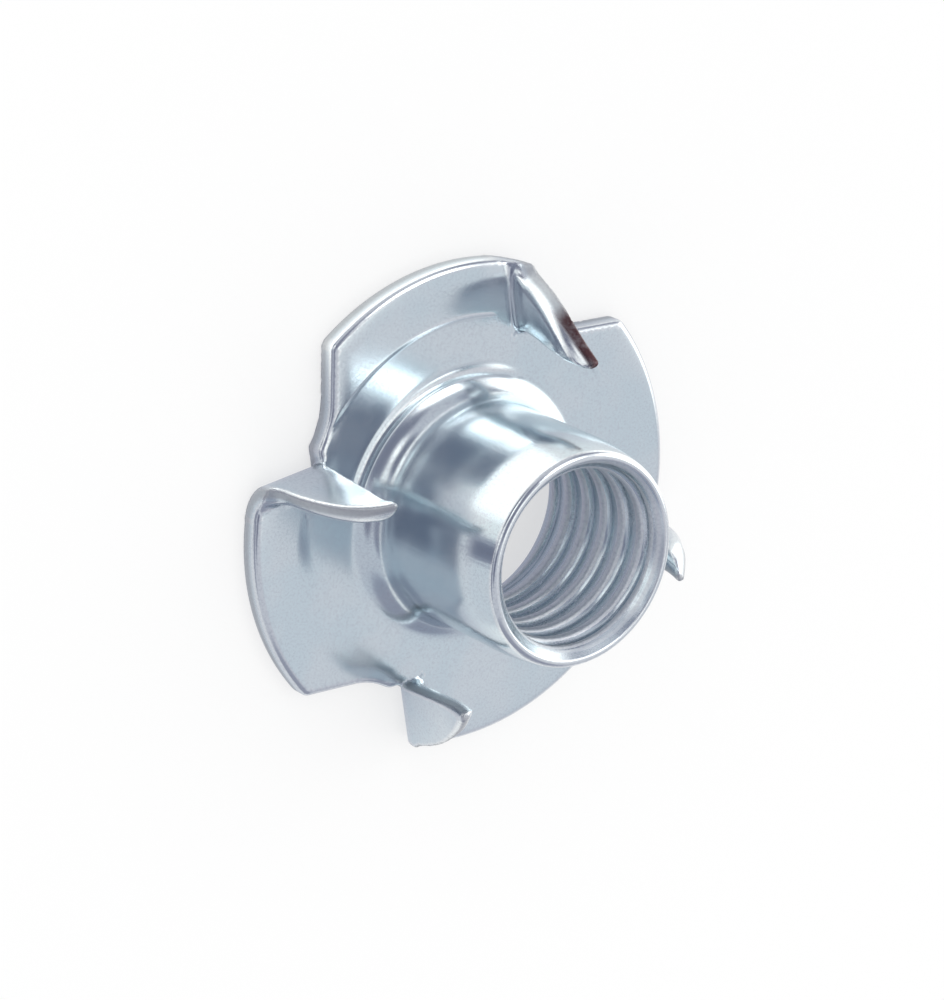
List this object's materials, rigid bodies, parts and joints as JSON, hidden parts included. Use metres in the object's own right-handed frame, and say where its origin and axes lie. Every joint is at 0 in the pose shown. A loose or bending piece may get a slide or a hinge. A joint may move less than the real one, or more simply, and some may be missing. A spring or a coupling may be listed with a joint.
{
  "type": "tee nut",
  "caption": "Drive-in tee nut: a threaded barrel on a round flange, with curled prongs folded up from the rim.",
  "frame": {"origin": "centre of the flange's back face, on the bore's axis", "axes": "+Z along the bore, from the flange's back face towards the barrel's mouth; +X out through one prong's fold"},
  "size_m": [0.022, 0.022, 0.0092],
  "materials": {
    "zinc_steel": "bright zinc plate"
  },
  "bodies": {
    "root": {"tee_nut": "zinc_steel"}
  },
  "joints": []
}
